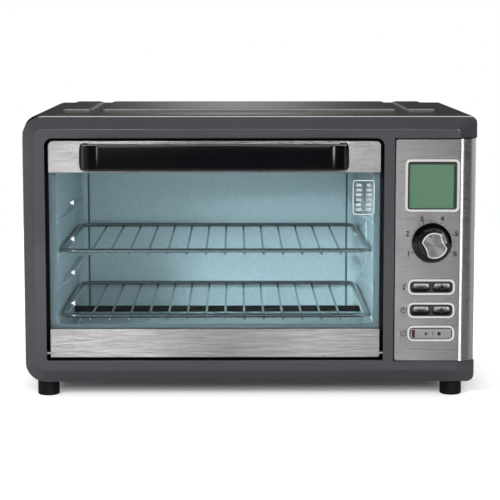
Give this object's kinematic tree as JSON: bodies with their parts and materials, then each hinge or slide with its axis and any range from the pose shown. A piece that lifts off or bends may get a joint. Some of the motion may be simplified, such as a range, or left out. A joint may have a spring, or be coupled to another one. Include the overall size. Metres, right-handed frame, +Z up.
{
  "type": "toaster oven",
  "caption": "Countertop toaster oven with a drop-down glass door, bowed handle, wire racks, convection fan, and a right-hand panel with display, selector knob and push buttons.",
  "frame": {"origin": "centre of the overall box, on the surface that the feet stand on", "axes": "+Z up, +X to the right of a user who faces the door, -Y out of the front"},
  "size_m": [0.525, 0.396, 0.334],
  "materials": {
    "frame_grey": "dark metallic grey, gloss",
    "cabinet_paint": "dark olive-grey gloss paint",
    "zinc_sheet": "zinc-coated sheet, satin",
    "door_steel": "brushed along its length",
    "panel_steel": "brushed, with a dark rounded edge",
    "cavity_sheet": "satin aluminised sheet",
    "tinted_glass": "tempered, slightly teal",
    "handle_black": "black gloss",
    "bright_trim": "bright plated",
    "knob_plating": "dark chrome plating",
    "button_grey": "silver-grey gloss",
    "carrier_black": "black moulding",
    "foot_black": "black, matte",
    "screw_steel": "zinc plated",
    "bush_brass": "plain",
    "heater_sheath": "dark oxidised sheath",
    "ceramic": "white ceramic",
    "wire_chrome": "bright plated wire",
    "fan_metal": "plain",
    "motor_steel": "lacquered steel",
    "display_glass": "clear window over a green display",
    "display_module": "green display",
    "board_green": "circuit board",
    "part_black": "moulded component",
    "lamp_red": "dark red light pipe",
    "ribbon_grey": "flat cable"
  },
  "bodies": {
    "oven_body": {"front_frame": "frame_grey", "cabinet_shell": "cabinet_paint", "base_plate": "zinc_sheet", "rear_panel": "zinc_sheet", "case_screws": "screw_steel", "cord_gland": "carrier_black", "feet": "foot_black", "foot_screws": "screw_steel", "cavity_front_plate": "cavity_sheet", "frame_screws": "screw_steel", "cavity_left_wall": "cavity_sheet", "cavity_right_wall": "cavity_sheet", "cavity_rear_wall": "cavity_sheet", "cavity_ceiling": "cavity_sheet", "cavity_floor": "cavity_sheet", "cavity_brackets": "zinc_sheet", "upper_heating_elements": "heater_sheath", "lower_heating_elements": "heater_sheath", "heater_insulators": "ceramic", "temperature_probe": "screw_steel", "fan_cover": "cavity_sheet", "fan_housing": "zinc_sheet", "fan_motor": "motor_steel", "door_hinge_bushes": "bush_brass", "control_panel": "panel_steel", "panel_carrier": "carrier_black", "display_bezel": "bright_trim", "display_window": "display_glass", "lcd_module": "display_module", "control_board": "board_green", "temperature_bezel": "bright_trim", "time_bezel": "bright_trim", "start_bezel": "bright_trim", "button_switches": "part_black", "encoder_body": "part_black", "encoder_nut": "screw_steel", "power_board": "board_green", "power_components": "part_black", "board_standoffs": "carrier_black", "ribbon_cable": "ribbon_grey"},
    "door": {"door_glass": "tinted_glass", "door_top_band": "door_steel", "door_bottom_band": "door_steel", "door_hinge_pins": "screw_steel", "door_handle": "handle_black", "handle_end_trims": "bright_trim", "handle_screws": "screw_steel"},
    "upper_rack_body": {"upper_rack": "wire_chrome"},
    "lower_rack_body": {"lower_rack": "wire_chrome"},
    "crumb_tray_body": {"crumb_tray": "cavity_sheet"},
    "fan": {"fan_rotor": "fan_metal", "fan_shaft": "screw_steel"},
    "knob": {"selector_knob": "knob_plating", "encoder_shaft": "screw_steel"},
    "temperature_down": {"temperature_down_button": "button_grey"},
    "temperature_up": {"temperature_up_button": "button_grey"},
    "time_down": {"time_down_button": "button_grey"},
    "time_up": {"time_up_button": "button_grey"},
    "start": {"start_button": "button_grey", "start_indicator": "lamp_red"}
  },
  "joints": [
    {"name": "door_hinge", "type": "hinge", "parent": "oven_body", "child": "door", "pos_m": [-0.04, -0.155, 0.0555], "axis": [1, 0, 0], "range_deg": [0, 90], "stiffness_Nm_per_rad": 0.3, "springref_deg": -51.57},
    {"name": "upper_rack_slide", "type": "slide", "parent": "oven_body", "child": "upper_rack_body", "axis": [0, -1, 0], "range_m": [0, 0.175]},
    {"name": "lower_rack_slide", "type": "slide", "parent": "oven_body", "child": "lower_rack_body", "axis": [0, -1, 0], "range_m": [0, 0.0955]},
    {"name": "crumb_tray_slide", "type": "slide", "parent": "oven_body", "child": "crumb_tray_body", "axis": [0, -1, 0], "range_m": [0, 0.0212]},
    {"name": "fan_spin", "type": "hinge", "parent": "oven_body", "child": "fan", "pos_m": [0.16, 0.015, 0.178], "axis": [1, 0, 0], "continuous": true},
    {"name": "knob_turn", "type": "hinge", "parent": "oven_body", "child": "knob", "pos_m": [0.21, -0.175, 0.1853], "axis": [0, -1, 0], "continuous": true},
    {"name": "temperature_down_press", "type": "slide", "parent": "oven_body", "child": "temperature_down", "axis": [0, 1, 0], "range_m": [0, 0.0012], "stiffness_N_per_m": 600, "springref_m": -0.0005},
    {"name": "temperature_up_press", "type": "slide", "parent": "oven_body", "child": "temperature_up", "axis": [0, 1, 0], "range_m": [0, 0.0012], "stiffness_N_per_m": 600, "springref_m": -0.0005},
    {"name": "time_down_press", "type": "slide", "parent": "oven_body", "child": "time_down", "axis": [0, 1, 0], "range_m": [0, 0.0012], "stiffness_N_per_m": 600, "springref_m": -0.0005},
    {"name": "time_up_press", "type": "slide", "parent": "oven_body", "child": "time_up", "axis": [0, 1, 0], "range_m": [0, 0.0012], "stiffness_N_per_m": 600, "springref_m": -0.0005},
    {"name": "start_press", "type": "slide", "parent": "oven_body", "child": "start", "axis": [0, 1, 0], "range_m": [0, 0.0012], "stiffness_N_per_m": 600, "springref_m": -0.0005}
  ],
  "couplings": [
    {"joint": "upper_rack_slide", "follows": "door_hinge", "m_per_rad": 0.11},
    {"joint": "lower_rack_slide", "follows": "door_hinge", "m_per_rad": 0.06},
    {"joint": "crumb_tray_slide", "follows": "door_hinge", "m_per_rad": 0.013}
  ]
}
